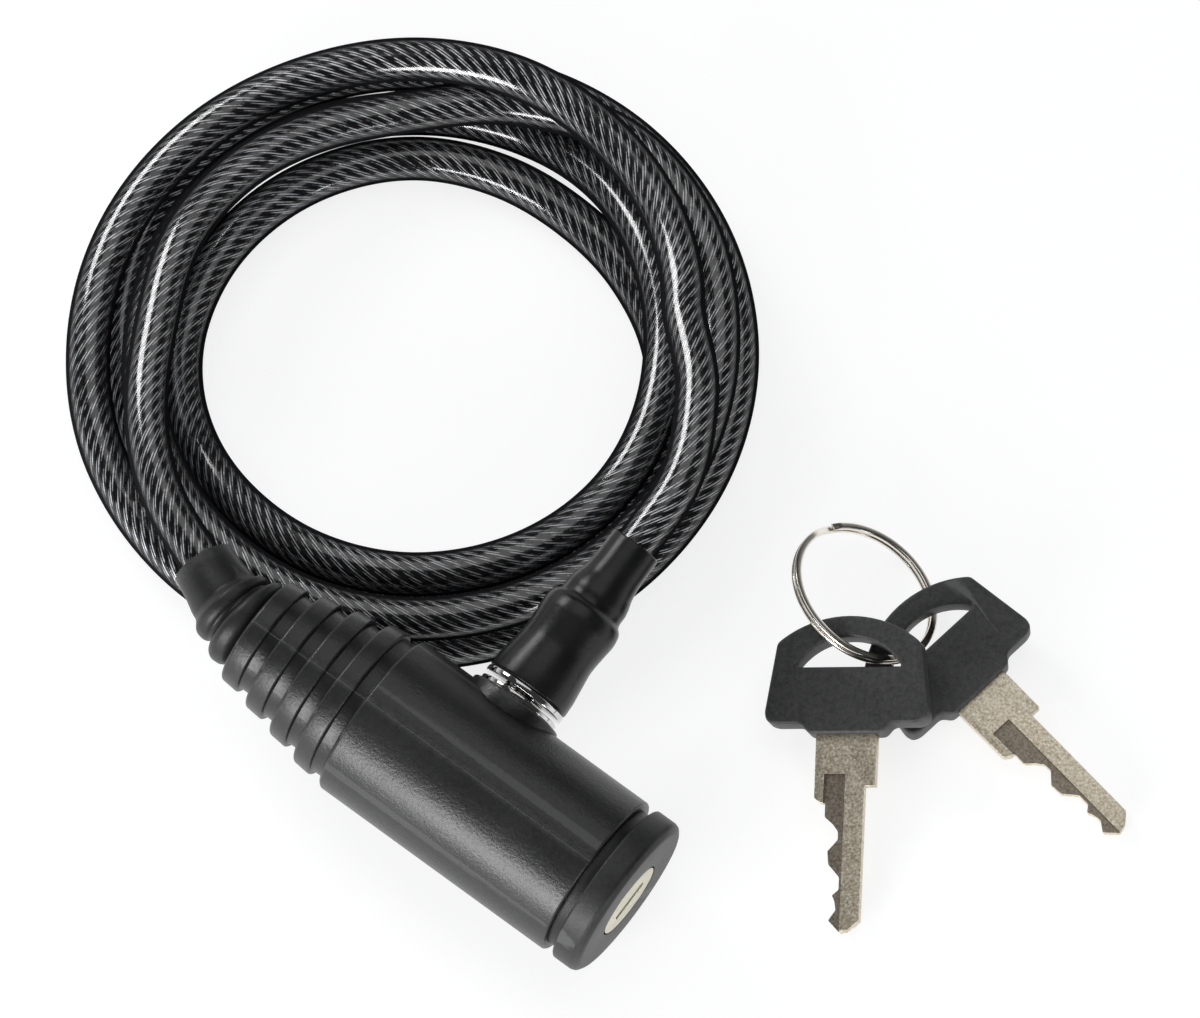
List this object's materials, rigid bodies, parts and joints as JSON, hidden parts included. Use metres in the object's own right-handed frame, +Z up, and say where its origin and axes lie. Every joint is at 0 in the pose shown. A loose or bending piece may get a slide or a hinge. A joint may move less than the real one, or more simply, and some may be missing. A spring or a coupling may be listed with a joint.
{
  "type": "self-coiling key cable lock",
  "caption": "Coiled sheathed steel cable with a barrel key lock at one end and a plug-in ferrule at the other, with two keys on a split ring.",
  "frame": {"origin": "on the surface that the lock lies on, under the middle of the box round the lock body, both keys and the key ring", "axes": "+Z up; +X from the lock body towards the keys, +Y from the keys' tips towards the cable coil"},
  "size_m": [0.1899, 0.1849, 0.0368],
  "materials": {
    "cover_black": "satin, fine moulded grain",
    "cap_black": "satin",
    "core_zinc": "as cast zinc alloy",
    "bright_chrome": "polished",
    "relief_black": "soft matt",
    "boot_black": "soft satin",
    "clear_sheath": "glossy, smoked and see-through",
    "rope_steel": "twisted steel strands",
    "cable_solid": "glossy",
    "crimp_steel": "plain",
    "pin_steel": "plain",
    "plug_brass": "nickel-washed brass",
    "wafer_brass": "stamped",
    "spring_steel": "drawn",
    "cam_steel": "stamped",
    "key_nickel": "nickel-plated, slightly worn",
    "bow_charcoal": "grained",
    "ring_nickel": "polished wire"
  },
  "bodies": {
    "lock_body": {"cover_bolt_side": "cover_black", "cover_plain_side": "cover_black", "end_cap": "cap_black", "lock_housing": "core_zinc", "socket_bush": "bright_chrome", "strain_relief": "relief_black", "cable_end_in_body": "cable_solid", "cable_crimp": "crimp_steel", "anchor_pin": "pin_steel", "retaining_pin": "pin_steel", "sheath_coil": "clear_sheath", "rope_coil": "rope_steel", "sheath_tail": "clear_sheath", "rope_tail": "rope_steel"},
    "plug": {"plug": "plug_brass", "wafer_1": "wafer_brass", "wafer_2": "wafer_brass", "wafer_3": "wafer_brass", "wafer_4": "wafer_brass", "wafer_5": "wafer_brass", "wafer_springs": "spring_steel", "cam": "cam_steel", "cam_clip": "spring_steel"},
    "ferrule": {"ferrule_pin": "bright_chrome", "ferrule_crimp": "crimp_steel", "ferrule_boot": "boot_black", "cable_end_in_ferrule": "cable_solid"},
    "ring": {"key_ring": "ring_nickel"},
    "front_key": {"front_key_blade": "key_nickel", "front_key_bow": "bow_charcoal"},
    "rear_key": {"rear_key_blade": "key_nickel", "rear_key_bow": "bow_charcoal"}
  },
  "joints": [
    {"name": "plug_turn", "type": "hinge", "parent": "lock_body", "child": "plug", "pos_m": [-0.0543, 0.0009, 0.02085], "axis": [0.7998, -0.594, -0.0872], "range_deg": [-90, 0]},
    {"name": "ferrule_pull", "type": "slide", "parent": "lock_body", "child": "ferrule", "axis": [0.5969, 0.7714, 0.2207], "range_m": [0, 0.016], "deforming": ["sheath_tail", "rope_tail"]},
    {"name": "ring_lift", "type": "slide", "parent": "lock_body", "child": "ring", "axis": [0, 0, 1], "range_m": [0, 0.04]},
    {"name": "front_key_swing", "type": "hinge", "parent": "ring", "child": "front_key", "pos_m": [0.0354, 0.0144, 0.01], "axis": [0, 0, 1], "range_deg": [-22, 1]},
    {"name": "rear_key_swing", "type": "hinge", "parent": "ring", "child": "rear_key", "pos_m": [0.0484, 0.0164, 0.006], "axis": [0, 0, 1], "range_deg": [-7, 7]}
  ]
}
